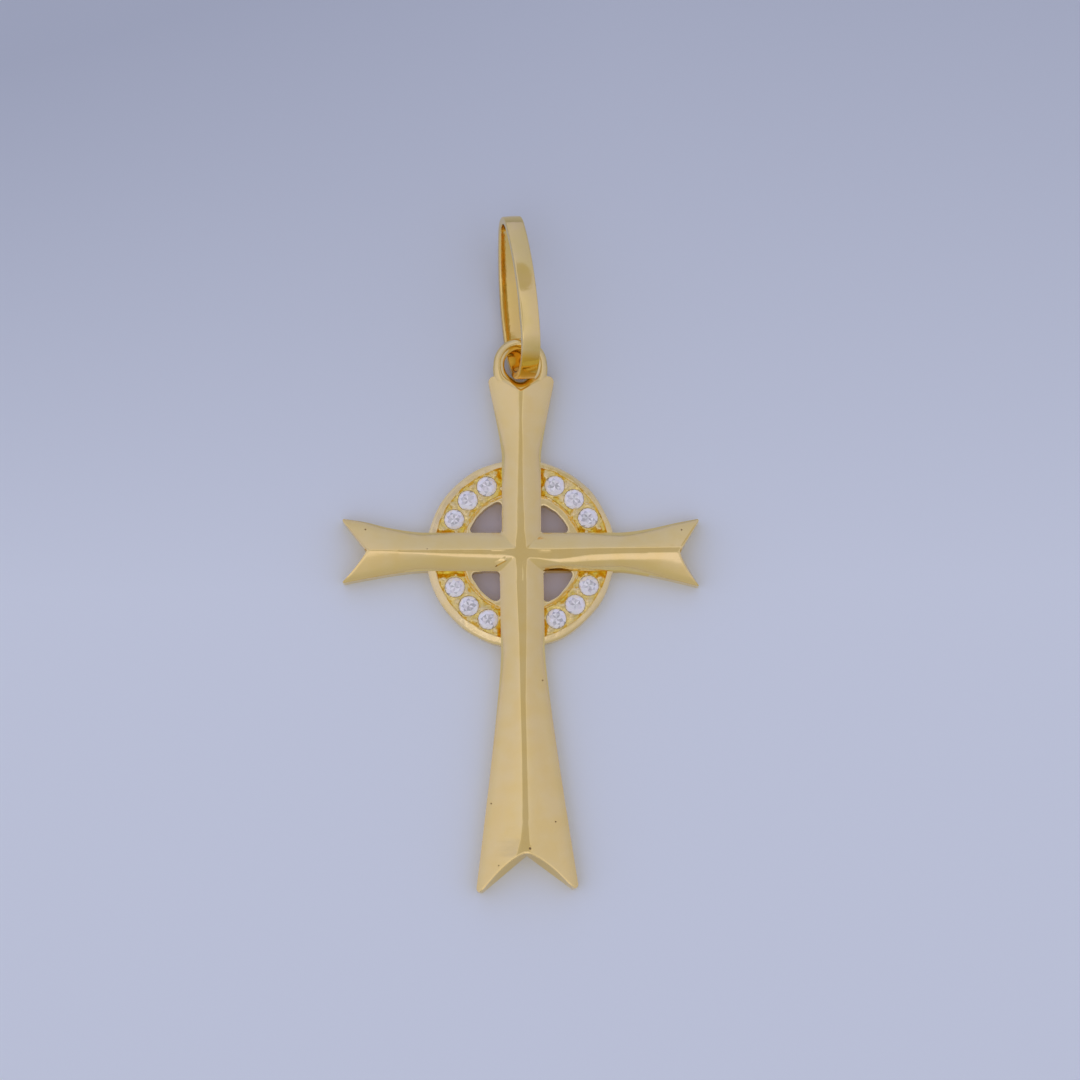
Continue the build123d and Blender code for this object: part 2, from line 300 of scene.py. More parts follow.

# Golds. Each row of where has a quantity, the range over which the deep colour gives way to the plain one,
# and the plain one's least share. If joined, the deep colour needs all its rows, else any of them. The deep
# colour is painted shade, light
# bounced between gold faces: on steep walls, low in the graved channel, and on the bail's low parts and its
# end by the loop
GOLDS = {
    "yellow_gold": dict(
        colour=(0.95, 0.70, 0.25), pale=(0.95, 0.72, 0.29), deep=(0.95, 0.69, 0.18),
        where=(("upward", 0.35, 0.60, 0.0),), joined=True,
        roughness=0.11, scratch=0.010, pitted=0.04, pits=PITS),
    "graved_gold": dict(
        colour=(0.95, 0.72, 0.29), pale=(0.94, 0.74, 0.35), deep=(0.86, 0.62, 0.07),
        where=(("height", 0.80, 1.04, 0.0), ("reach", 5.2, 5.3, 0.0)), joined=True,
        roughness=0.14, scratch=0.030, pitted=0.06, pits=()),
    "bail_gold": dict(
        colour=(0.93, 0.70, 0.24), pale=(0.95, 0.71, 0.28), deep=(0.84, 0.50, 0.05),
        where=(("height", 0.40, 2.40, 0.60), ("reach", 11.10, 11.60, 0.0)), joined=False,
        roughness=0.08, scratch=0.010, pitted=0.03, pits=()),
}
# Noises of the materials: turns for each millimetre, detail and roughness, and the range in use
BLOTCH_NOISE = (0.9, 3.0, 0.5)
BLOTCH_SPREAD = (0.35, 0.65)
POLISH_NOISE = (6.0, 2.0, 0.5)
POLISH_SPREAD = (0.3, 0.7)
SCRATCH_NOISE = (3.2, 4.0, 0.6)
GLINT_NOISE = (5.0, 2.0, 0.5)
GLINT_SPREAD = (0.38, 0.62)
SCRATCH_STRENGTH = 0.5
POLISH_RANGE = (0.85, 1.2)
# Random cells of the gold painted with the pits' shade: cells for each millimetre and their reach
PIT_CELLS = 1.6
PIT_CELL_REACH = (0.045, 0.085)
# Two near-white tints of the stones, mixed by the glint noise as painted glints
STONE_TINTS = ((1.0, 0.92, 0.84), (1.0, 0.98, 0.86))

# Table: colours by the foot of the cross and beyond the bail, ranges along and aside over which one fades
# into the other, and how much faster it fades aside. The fade is a painted falloff of light, darker towards
# the bail end and the left
FLOOR_SIZE = 1200.0
FLOOR_NEAR = (0.86, 0.90, 0.845)
FLOOR_FAR = (0.565, 0.60, 0.595)
FLOOR_ALONG = (-2.0, 44.0)
FLOOR_ASIDE = (6.0, -34.0)
FLOOR_ASIDE_GAIN = 0.45
# Painted shadow of the ring on the table, seen through its windows: its colour, and the reach from the hub
# over which it ends
FLOOR_PAINTED_SHADOW = (0.690, 0.650, 0.690)
FLOOR_PAINTED_SHADOW_REACH = (3.6, 4.4)

# Light by the height of its direction: 0 at the horizon, 1 overhead
SKY_RINGS = (
    (0.0, (0.52, 0.54, 0.90)),
    (0.22, (0.58, 0.60, 0.92)),
    (0.44, (0.59, 0.61, 0.88)),
    (0.67, (0.62, 0.64, 0.92)),
    (0.83, (0.65, 0.66, 0.94)),
    (0.90, (0.68, 0.69, 0.95)),
    (0.95, (0.72, 0.73, 0.97)),
    (0.98, (0.56, 0.56, 0.66)),
)
# Tints of the light from the front, from behind and from the right: axis, range and colour
SKY_TINTS = (
    ("Y", -0.25, -0.75, (0.83, 0.81, 0.64)),
    ("Y", 0.30, 0.80, (0.88, 0.91, 0.95)),
    ("X", 0.08, 0.42, (0.88, 0.88, 0.88)),
)
# Patches of the sky: direction, inner and outer reach, and colour. The first two are lamps in front,
# the others are dim
SKY_PATCHES = (
    ((0.0, -0.31, 0.951), (0.10, 0.19), (0.82, 0.81, 1.12)),
    ((-0.25, -0.40, 0.88), (0.08, 0.15), (0.95, 0.95, 1.25)),
    ((-0.33, 0.36, 0.873), (0.12, 0.26), (0.48, 0.50, 0.79)),
    ((0.04, 0.10, 0.994), (0.15, 0.21), (0.48, 0.475, 0.54)),
    ((0.25, 0.55, 0.80), (0.19, 0.21), (0.45, 0.44, 0.46)),
)

# Arms, each with its direction in degrees, half widths at the waist and the end, reach of the tips,
# knee of the flare, notch's apex and half widths of its mouth, bows of its bevels, swells of the sides
# before the tips, and tip radius. Pairs are for the left and the right side, looking out from the hub
ARMS = {
    "right": dict(turn=-0.40, waist=(1.16, 1.16), end=(2.00, 2.15), tip=(10.74, 10.74), knee=1.20,
                  apex=9.54, mouth=(2.00, 2.15), bevel=(0.0, 0.20), swell=(0.04, 0.0), corner=0.10),
    "upper": dict(turn=89.55, waist=(1.16, 1.18), end=(2.04, 2.06), tip=(10.66, 10.66), knee=0.70,
                  apex=9.78, mouth=(1.52, 1.52), bevel=(0.0, 0.0), swell=(0.0, 0.0), corner=0.32),
    "left": dict(turn=179.10, waist=(1.16, 1.16), end=(1.96, 2.01), tip=(10.86, 10.88), knee=1.20,
                 apex=9.30, mouth=(1.96, 2.01), bevel=(0.10, 0.0), swell=(0.0, 0.08), corner=0.10),
    "lower": dict(turn=270.33, waist=(1.30, 1.31), end=(3.09, 3.05), tip=(20.20, 20.36), knee=2.10,
                  apex=18.14, mouth=(2.70, 2.72), bevel=(0.30, 0.30), swell=(0.0, 0.0), corner=0.24),
}

# Crest of each arm: distance from the hub, edge of the flat band on the left and on the right hand,
# then how far the bright bevel beside it reaches on either hand
CRESTS = {
    "right": (
        (0.0, 0.08, 0.32, 0.04, 0.04),
        (0.9, 0.10, 0.38, 0.04, 0.08),
        (1.6, 0.11, 0.46, 0.04, 0.14),
        (2.3, 0.12, 0.48, 0.04, 0.24),
        (3.2, 0.14, 0.36, 0.04, 0.34),
        (4.1, 0.15, 0.22, 0.04, 0.40),
        (6.0, 0.17, 0.14, 0.04, 0.42),
        (9.6, 0.20, 0.11, 0.04, 0.46),
    ),
    "left": (
        (0.0, 0.24, 0.10, 0.12, 0.05),
        (0.70, 0.21, 0.08, 0.22, 0.05),
        (1.42, 0.19, 0.08, 0.26, 0.05),
        (2.6, 0.17, 0.07, 0.24, 0.05),
        (3.8, 0.15, 0.05, 0.23, 0.05),
        (4.9, 0.12, 0.03, 0.19, 0.05),
        (7.3, 0.06, 0.02, 0.08, 0.05),
        (9.6, 0.03, 0.02, 0.02, 0.05),
    ),
    "upper": (
        (0.0, 0.28, 0.23, 0.0, 0.0),
        (0.5, 0.30, 0.23, 0.0, 0.0),
        (2.0, 0.29, 0.18, 0.0, 0.05),
        (3.2, 0.26, 0.12, 0.0, 0.06),
        (5.0, 0.22, 0.10, 0.0, 0.04),
        (6.8, 0.17, 0.12, 0.0, 0.0),
        (8.0, 0.15, 0.08, 0.0, 0.0),
        (9.6, 0.17, 0.14, 0.0, 0.0),
    ),
    "lower": (
        (0.0, 0.26, 0.28, 0.05, 0.05),
        (1.9, 0.27, 0.32, 0.05, 0.05),
        (5.2, 0.21, 0.22, 0.05, 0.05),
        (8.8, 0.09, 0.20, 0.05, 0.05),
        (12.4, 0.10, 0.17, 0.05, 0.05),
        (15.0, 0.13, 0.18, 0.05, 0.05),
        (16.2, 0.15, 0.22, 0.05, 0.05),
        (17.2, 0.20, 0.34, 0.05, 0.05),
        (17.8, 0.24, 0.50, 0.05, 0.05),
        (18.3, 0.26, 0.66, 0.05, 0.05),
    ),
}


def smooth_min(a, b, blend):
    """Lower of two heights, rounded over a length of blend where they meet."""
    h = np.clip(0.5 + 0.5 * (b - a) / blend, 0.0, 1.0)
    return b + (a - b) * h - blend * h * (1.0 - h)


def smooth_max(a, b, blend):
    """Higher of two heights, rounded over a length of blend where they meet."""
    return -smooth_min(-a, -b, blend)


def turned(x, y, degrees):
    """Coordinates in a frame turned by so many degrees."""
    c, s = math.cos(math.radians(degrees)), math.sin(math.radians(degrees))
    return x * c + y * s, y * c - x * s


def back_turned(u, v, degrees):
    """Inverse of turned."""
    return turned(u, v, -degrees)


def half_width(u, name, side):
    """Half width of an arm on its left (0) or right (1) side at a distance from the hub."""
    row = ARMS[name]
    waist, end, length, knee = row["waist"][side], row["end"][side], row["tip"][side], row["knee"]
    u = np.asarray(u, float)
    run = length - FLARE_START - 2 * knee
    past = np.clip(u - FLARE_START, 0.0, length - FLARE_START)
    share = (-2 * knee + np.sqrt(4 * knee ** 2 + 4 * run * past)) / (2 * run)
    swell = row["swell"][side] * np.exp(-((u - length + SWELL_SETBACK) / SWELL_SPREAD) ** 2)
    return waist * (1 - share ** 2) + end * share ** 2 + swell


def crest_at(u, name):
    """Columns of an arm's crest table at a distance from the hub."""
    table = np.array(CRESTS[name])
    return [np.interp(u, table[:, 0], table[:, column]) for column in range(1, 5)]


def roof(u, v, name):
    """Height of an arm's top over points in the arm's own frame, without its edge rounding."""
    band_left, band_right, bevel_left, bevel_right = crest_at(u, name)
    middle = (band_left - band_right) / 2
    band = (band_left + band_right) / 2
    left = v > middle
    half = np.where(left, half_width(u, name, 0) - middle, half_width(u, name, 1) + middle)
    bevel = np.where(left, bevel_left, bevel_right)
    out = np.abs(v - middle)
    shoulder = band + bevel
    shoulder_height = RIDGE_HEIGHT - BEVEL_SLOPE * bevel
    share = (half - out) / (half - shoulder)
    share = share + SLOPE_BULGE * share * np.clip(1 - share, 0.0, 1.0)
    facet = EDGE_HEIGHT + (shoulder_height - EDGE_HEIGHT) * share
    strip = RIDGE_HEIGHT - BEVEL_SLOPE * (out - band)
    return smooth_min(smooth_min(facet, strip, CREST_BLEND), RIDGE_HEIGHT, CREST_BLEND)


def waves(x, y, rows):
    """Sum of rows of waves at each point."""
    total = np.zeros(len(x))
    for height, scale, seed in rows:
        total += [height * noise.noise(Vector((a / scale, b / scale, seed))) for a, b in zip(x, y)]
    return total


def straight(start, stop, step):
    """Points from just past start to stop."""
    start, stop = Vector(start), Vector(stop)
    count = max(1, int((stop - start).length / step))
    return [tuple(start.lerp(stop, k / count)) for k in range(1, count + 1)]


def arc(centre, radius, first, last, count):
    """Points of an arc between two directions in radians, both ends included."""
    turns = [first + (last - first) * k / count for k in range(count + 1)]
    return [(centre[0] + radius * math.cos(turn), centre[1] + radius * math.sin(turn)) for turn in turns]


def circle(radius, count, centre=(0.0, 0.0)):
    """Closed line round a centre, anticlockwise."""
    return arc(centre, radius, 0.0, 2 * math.pi, count)[:-1]


def arm_outline(name):
    """Sides and end of an arm in its own frame, from its right to its left side."""
    row = ARMS[name]
    halves = []
    for side in (0, 1):
        end, tip, mouth, apex = row["end"][side], row["tip"][side], row["mouth"][side], row["apex"]
        stations = np.linspace(OUTLINE_START, tip, int((tip - OUTLINE_START) / PLAN_STEP))
        line = [(u, float(half_width(u, name, side))) for u in stations]
        if end - mouth > MERGE_DISTANCE:
            line.append((tip, mouth))
        legs = int(math.hypot(tip - apex, mouth) / PLAN_STEP)
        line += [(tip + (apex - tip) * k / legs, mouth * (1 - k / legs)) for k in range(1, legs + 1)]
        halves.append(round_corner(line, (tip, end), row["corner"]))
    mirrored = [(u, -v) for u, v in halves[1]]
    return mirrored[:-1] + halves[0][::-1]


def round_corner(points, corner, radius):
    """Line with its corner nearest to a given point replaced by an arc."""
    index = min(range(len(points)), key=lambda i: math.dist(points[i], corner))
    at = Vector(points[index])
    before = (Vector(points[index - 2]) - at).normalized()
    after = (Vector(points[index + 2]) - at).normalized()
    half = before.angle(after) / 2
    reach = radius / math.tan(half)
    centre = at + (before + after).normalized() * (radius / math.sin(half))
    start = at + before * reach - centre
    stop = at + after * reach - centre
    first = math.atan2(start.y, start.x)
    sweep = (math.atan2(stop.y, stop.x) - first + math.pi) % (2 * math.pi) - math.pi
    clear = reach + MERGE_DISTANCE
    kept_before = [p for p in points[:index] if (Vector(p) - at).length > clear]
    kept_after = [p for p in points[index + 1:] if (Vector(p) - at).length > clear]
    return kept_before + arc(centre, radius, first, first + sweep, CORNER_STEPS) + kept_after


def offset_loop(loop, distance):
    """Closed line moved inwards, to the left of its direction."""
    points = np.array(loop)
    ahead = np.roll(points, -1, axis=0) - points
    ahead /= np.linalg.norm(ahead, axis=1)[:, None]
    normal = np.stack([-ahead[:, 1], ahead[:, 0]], 1)
    middle = normal + np.roll(normal, 1, axis=0)
    middle /= np.linalg.norm(middle, axis=1)[:, None]
    scale = 1.0 / np.clip((middle * normal).sum(1), 0.5, 1.0)
    return points + middle * (distance * scale)[:, None]


def inside(x, y, loop):
    """Which points lie inside a closed line."""
    found = np.zeros(len(x), bool)
    for (x0, y0), (x1, y1) in zip(loop[-1:] + loop[:-1], loop):
        if y0 != y1:
            crosses = (y0 > y) != (y1 > y)
            found ^= crosses & (x < (x1 - x0) * (y - y0) / (y1 - y0) + x0)
    return found


def covered(points, loops):
    """Which points lie inside the first loop and outside the others."""
    x, y = points[:, 0], points[:, 1]
    found = inside(x, y, loops[0])
    for loop in loops[1:]:
        found &= ~inside(x, y, loop)
    return found


def edge_fall(distance, radius):
    """How far a softened edge lies below its plateau at a distance from the outline."""
    left = np.clip(1 - distance / radius, 0.0, 1.0)
    return EDGE_DROP * radius * left ** 2


def edge_distances(points, loop):
    """Distance of each point from a closed line, to within half of EDGE_STEP."""
    spots = []
    for k, stop in enumerate(loop):
        start = Vector(loop[k - 1])
        count = max(1, math.ceil((Vector(stop) - start).length / EDGE_STEP))
        spots += [start.lerp(Vector(stop), part / count) for part in range(count)]
    tree = kdtree.KDTree(len(spots))
    for k, spot in enumerate(spots):
        tree.insert((spot.x, spot.y, 0.0), k)
    tree.balance()
    return np.array([tree.find((x, y, 0.0))[2] for x, y in points])


def triangulated(verts, edges, loops):
    """Points and upward triangles over the area that the loops leave."""
    out = delaunay_2d_cdt([Vector(v) for v in verts], edges, [], 0, JOIN_WITHIN, False)
    xy = np.array([(v.x, v.y) for v in out[0]])
    faces = np.array([tuple(f) for f in out[2]])
    faces = faces[covered(xy[faces].mean(1), loops)]
    a, b, c = xy[faces[:, 0]], xy[faces[:, 1]], xy[faces[:, 2]]
    area = (b[:, 0] - a[:, 0]) * (c[:, 1] - a[:, 1]) - (c[:, 0] - a[:, 0]) * (b[:, 1] - a[:, 1])
    faces[area < 0] = faces[area < 0][:, ::-1]
    used, faces = np.unique(faces, return_inverse=True)
    return xy[used], faces.reshape(-1, 3)


def slab(name, loops, radii, lines, points, height):
    """Closed solid over the area inside the first loop and outside the others, on a flat back.

    Each loop's upper edge is rounded by its radius. Lines are creases, points fill the rest, and
    height(x, y, fall) gives the top, fall being how far the rounding lowers it."""
    verts, edges = [], []
    for line, closed in [(loop, True) for loop in loops] + [(line, False) for line in lines]:
        base = len(verts)
        verts.extend((float(p[0]), float(p[1])) for p in line)
        edges.extend((base + k, base + k + 1) for k in range(len(line) - 1))
        if closed:
            edges.append((base + len(line) - 1, base))
    points = np.asarray(points, float)
    fill = []
    keep = covered(points, loops)
    for loop, radius in zip(loops, radii):
        if radius > 0:
            keep &= edge_distances(points, loop) > radius * EDGE_RINGS[-1] * EDGE_CLEARANCE
            for part in EDGE_RINGS:
                ring = offset_loop(loop, radius * part)
                fill.append(ring[edge_distances(ring, loop) > radius * part * EDGE_TOLERANCE])
    verts.extend((float(p[0]), float(p[1])) for p in np.concatenate([points[keep], *fill]))
    xy, faces = triangulated(verts, edges, loops)
    fall = np.zeros(len(xy))
    for loop, radius in zip(loops, radii):
        if radius > 0:
            fall += edge_fall(edge_distances(xy, loop), radius)
    top = np.maximum(height(xy[:, 0], xy[:, 1], fall), LOWEST_TOP)
    half_edges = {(f[k], f[(k + 1) % 3]) for f in faces.tolist() for k in range(3)}
    border = [edge for edge in half_edges if (edge[1], edge[0]) not in half_edges]
    number = len(xy)
    coords = np.concatenate([np.column_stack([xy, top]), np.column_stack([xy, np.zeros(number)])])
    polygons = faces.tolist() + (faces[:, ::-1] + number).tolist()
    polygons += [(start, stop, stop + number, start + number)[::-1] for start, stop in sorted(border)]
    return make_mesh(name, coords, polygons)


def make_mesh(name, coords, polygons, sharp=SHARP_ANGLE):
    """Object from millimetre coordinates, smooth except at edges sharper than an angle in degrees."""
    mesh = bpy.data.meshes.new(name)
    mesh.from_pydata((np.asarray(coords) * MM).tolist(), [], [list(p) for p in polygons])
    mesh.update()
    mesh.validate()
    mesh.shade_smooth()
    mesh.set_sharp_from_angle(angle=math.radians(sharp))
    obj = bpy.data.objects.new(name, mesh)
    bpy.context.scene.collection.objects.link(obj)
    return obj


def band_faces(count, sides):
    """Quads of a closed band of so many sections, each of so many points."""
    faces = []
    for i in range(count):
        for k in range(sides):
            j, m = (i + 1) % count, (k + 1) % sides
            faces.append((i * sides + k, i * sides + m, j * sides + m, j * sides + k))
    return faces


def hub_corner(first, second):
    """Point where the left side of an arm crosses the right side of the next."""
    turn_a, turn_b = ARMS[first]["turn"], ARMS[second]["turn"]
    pa = Vector(back_turned(0.0, ARMS[first]["waist"][0], turn_a))
    pb = Vector(back_turned(0.0, -ARMS[second]["waist"][1], turn_b))
    da = Vector(back_turned(1.0, 0.0, turn_a))
    db = Vector(back_turned(1.0, 0.0, turn_b))
    reach = ((pb.x - pa.x) * db.y - (pb.y - pa.y) * db.x) / (da.x * db.y - da.y * db.x)
    return pa + da * reach


def bevel_width(part, bow):
    """Width of a notch's bevelled wall at a share of the way from its apex to its tip."""
    return BEVEL_LEAST + bow * np.sin(math.pi * np.clip(part, 0.0, BEVEL_HOLD)) ** BEVEL_POWER


def side_fall(u, out, name, side):
    """How far an arm's softened side lowers its top, less so by the hub."""
    least, first, last = SIDE_SOFTENING
    softness = np.clip((u - first) / (last - first), least, 1.0)
    return softness * edge_fall(half_width(u, name, side) - out, ARM_EDGE_RADIUS)


def arm_top(u, v, name):
    """Height of an arm's top over points in the arm's own frame, with its edges and its notch."""
    row = ARMS[name]
    top = roof(np.maximum(u, 0.0), v, name)
    out = np.abs(v)
    for side, mine in ((0, v > 0), (1, v <= 0)):
        mouth, tip, apex, bow = row["mouth"][side], row["tip"][side], row["apex"], row["bevel"][side]
        slope = math.atan2(mouth, tip - apex)
        away = (apex - u) * math.sin(slope) + out * math.cos(slope)
        shown = top - side_fall(u, out, name, side)
        if bow > 0:
            width = bevel_width(out / mouth, bow)
            wall = np.where(u > apex - NOTCH_REACH, RIDGE_HEIGHT * away / width, RIDGE_HEIGHT + 1.0)
            shown = shown - edge_fall((wall - shown) * width / RIDGE_HEIGHT, END_EDGE_RADIUS)
            shown = np.minimum(shown, wall)
        else:
            shown = shown - edge_fall(np.minimum(away, tip - u), END_EDGE_RADIUS)
        top = np.where(mine, shown, top)
    return top


def mark_height(x, y, start, stop, gentle, steep, height):
    """Height of a file mark's ridge of metal at each point."""
    (x0, y0), (x1, y1) = start, stop
    length = math.dist(start, stop)
    along = ((x - x0) * (x1 - x0) + (y - y0) * (y1 - y0)) / length
    out = ((x - x0) * (y1 - y0) - (y - y0) * (x1 - x0)) / length
    within = np.clip(np.minimum(along, length - along) / MARK_RAMP, 0.0, 1.0)
    side = np.where(out > 0, 1 - out / gentle, 1 + out / steep)
    return height * within * np.clip(side, 0.0, 1.0)


def arms_height(x, y, _fall):
    """Top of the four arms at each point. Each softens its own edges, so the slab's fall is unused."""
    heights = {}
    for name, row in ARMS.items():
        heights[name] = arm_top(*turned(x, y, row["turn"]), name)
    across = np.where(x > 0, heights["right"], heights["left"])
    along = np.where(y > 0, heights["upper"], heights["lower"])
    cap = HUB_HEIGHT + HUB_RISE * np.maximum(np.hypot(x, y) - HUB_FLAT, 0.0) ** 2
    hub = smooth_min(smooth_max(across, along, VALLEY_BLEND), cap, HUB_BLEND)
    near = (np.abs(x) < HUB_SPAN) & (np.abs(y) < HUB_SPAN)
    height = np.where(near, hub, np.where(np.abs(x) > np.abs(y), across, along))
    for mark in HUB_MARKS:
        height = height + mark_height(x, y, *mark)
    for name, place, aside, radius in PITS:
        u, v = turned(x, y, ARMS[name]["turn"])
        share = np.hypot(u - place, v - aside) / radius
        height = height - PIT_DEPTH * np.sqrt(np.clip(1 - share, 0.0, 1.0))
    return height + waves(x, y, ARM_WAVES)


def mark_lines(start, stop, gentle, steep, _height):
    """Creases along a file mark's ridge, its feet and its gentle side's middle."""
    start, stop = Vector(start), Vector(stop)
    across = Vector((stop.y - start.y, start.x - stop.x)).normalized()
    stations = [start.lerp(stop, k / MARK_STEPS) for k in range(MARK_STEPS + 1)]
    return [[tuple(spot + across * out) for spot in stations] for out in (gentle, gentle / 2, 0.0, -steep)]


def notch_crease(name, side, sign):
    """Upper edge of a notch's bevelled wall, and points on the wall and beyond it."""
    row = ARMS[name]
    tip, mouth, apex, turn = row["tip"][side], row["mouth"][side], row["apex"], row["turn"]
    slope = math.atan2(mouth, tip - apex)
    crease, beside = [], []
    for part in CREASE_SHARES:
        v = part * mouth
        edge = apex + (tip - apex) * part
        width = float(bevel_width(part, row["bevel"][side]))
        u = edge
        for _ in range(CREASE_ROUNDS):
            crown = roof(np.array([u]), np.array([sign * v]), name)
            crown = crown - side_fall(np.array([u]), v, name, side)
            u = edge - width * float(crown[0]) / RIDGE_HEIGHT / math.sin(slope)
        crease.append(back_turned(u, sign * v, turn))
        stations = [edge + (u - edge) * share for share in WALL_SHARES]
        stations += [u - beyond / math.sin(slope) for beyond in CREASE_OFFSETS]
        beside += [back_turned(station, sign * v, turn) for station in stations]
    return crease, beside


def crest_rows(name):
    """Creases and rows of points that follow an arm's flat band, bevels and facets."""
    row = ARMS[name]
    turn, apex = row["turn"], row["apex"]
    stations = np.arange(HUB_SPAN, max(row["tip"]) - END_GAP, CREST_STEP)
    inner = stations < apex - END_GAP
    columns = crest_at(stations, name)
    lines, points = [], []
    for side, sign in ((0, 1.0), (1, -1.0)):
        band, bevel = columns[side], columns[side + 2]
        shoulder = band + bevel
        rows = [band + offset for offset in BAND_OFFSETS]
        if bevel.max() > 0:
            rows += [shoulder + offset for offset in BEVEL_OFFSETS]
        start = shoulder + FACET_GAP
        rows += [start + (half_width(stations, name, side) - start) * share for share in FACET_SHARES]
        for out in rows:
            points += [back_turned(u, sign * v, turn) for u, v in zip(stations, out) if v > LEAST_OUT]
        lines.append([back_turned(u, sign * v, turn) for u, v in zip(stations[inner], band[inner])])
        if row["bevel"][side] > 0:
            crease, beside = notch_crease(name, side, sign)
            lines.append(crease)
            points += beside
    points += [back_turned(u, v, turn) for u, v in zip(stations, (columns[0] - columns[1]) / 2)]
    return lines, points


def cross_outline():
    """Outline of the four arms, anticlockwise."""
    names = list(ARMS)
    outline = []
    for first, second in zip(names, names[1:] + names[:1]):
        outline += [back_turned(u, v, ARMS[first]["turn"]) for u, v in arm_outline(first)]
        corner = hub_corner(first, second)
        following = back_turned(*arm_outline(second)[0], ARMS[second]["turn"])
        outline += straight(outline[-1], corner, PLAN_STEP)
        outline += straight(corner, following, PLAN_STEP)[:-1]
    return outline


def cross_arms():
    """Four ridged arms in one casting."""
    lines, points = [], []
    for name in ARMS:
        more_lines, more_points = crest_rows(name)
        lines += more_lines
        points += more_points
    for name, place, aside, radius in PITS:
        for share in PIT_RINGS:
            ring = circle(share * radius, PIT_SIDES, (place, aside))
            points += [back_turned(u, v, ARMS[name]["turn"]) for u, v in ring]
    for mark in HUB_MARKS:
        lines += mark_lines(*mark)
    fine = np.arange(-HUB_SPAN, HUB_SPAN, FINE_STEP)
    points += [(a + HUB_GRID_SHIFT[0], b + HUB_GRID_SHIFT[1]) for a in fine for b in fine]
    return slab("cross_arms", [cross_outline()], [ARM_EDGE_RADIUS], lines, points, arms_height)


def window(x_sign, y_sign, big):
    """Rounded, hand-filed opening beside the hub, as a clockwise line out to a radius."""
    near_x = (ARM_WIDTH if y_sign > 0 else LOWER_ARM_WIDTH) / 2 + WINDOW_LEDGE
    near_y = ARM_WIDTH / 2 + WINDOW_LEDGE
    r = WINDOW_CORNER_RADIUS
    inner = (near_x + r, near_y + r)
    right = (math.sqrt((big - r) ** 2 - inner[1] ** 2), inner[1])
    upper = (inner[0], math.sqrt((big - r) ** 2 - inner[0] ** 2))
    right_turn = math.atan2(right[1], right[0])
    upper_turn = math.atan2(upper[1], upper[0])
    line = arc(inner, r, math.pi, 1.5 * math.pi, WINDOW_CORNER_STEPS)
    line += straight(line[-1], (right[0], near_y), WINDOW_STEP)[:-1]
    line += arc(right, r, -math.pi / 2, right_turn, WINDOW_CORNER_STEPS)
    line += arc((0.0, 0.0), big, right_turn, upper_turn, WINDOW_ARC_STEPS)[1:-1]
    line += arc(upper, r, upper_turn, math.pi, WINDOW_CORNER_STEPS)
    line += straight(line[-1], (near_x, inner[1]), WINDOW_STEP)[:-1]
    middle = Vector((near_x + WINDOW_MIDDLE, near_y + WINDOW_MIDDLE))
    filed = []
    for x, y in line:
        seed = Vector((x * WINDOW_TURNS, y * WINDOW_TURNS, WINDOW_SEED + 3 * x_sign + y_sign))
        push = (Vector((x, y)) - middle).normalized() * (WINDOW_UNEVENNESS * noise.noise(seed))
        filed.append(((x + push.x) * x_sign, (y + push.y) * y_sign))
    return filed[::-1] if x_sign * y_sign > 0 else filed


def stone_centres():
    """Middle of each stone on the plan, from its node's box."""
    middles = [sum(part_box(node), Vector()) / 2 for node in STONE_NODES]
    return [(middle.x / MM, middle.y / MM) for middle in middles]


def grain_spots():
    """Place and half width of each grain beside the stones."""
    spots = []
    shuffle = random.Random(GRAIN_SPOT_DRAW)
    centres = stone_centres()
    for first in range(0, len(centres), STONES_PER_QUADRANT):
        row = centres[first:first + STONES_PER_QUADRANT]
        radius = math.hypot(*row[1])
        middle = math.atan2(row[1][1], row[1][0])
        pitch = 2 * math.asin(math.dist(row[0], row[1]) / 2 / radius)
        for index in range(STONES_PER_QUADRANT + 1):
            turn = middle + pitch * (index - STONES_PER_QUADRANT / 2)
            for side in (-1, 1):
                reach = radius + side * (GRAIN_REACH + shuffle.uniform(*GRAIN_SHIFTS_OUT))
                turned_by = turn + shuffle.uniform(*GRAIN_SHIFTS_ALONG) / radius
                size = shuffle.uniform(*GRAIN_SIZES)
                spot = Vector((reach * math.cos(turned_by), reach * math.sin(turned_by)))
                nearest = min(centres, key=lambda place: math.dist(place, spot))
                gap = spot - Vector(nearest)
                if gap.length - size < STONE_RADIUS + GRAIN_GAP:
                    spot = Vector(nearest) + gap.normalized() * (STONE_RADIUS + GRAIN_GAP + size)
                spots.append((spot, size))
    return spots


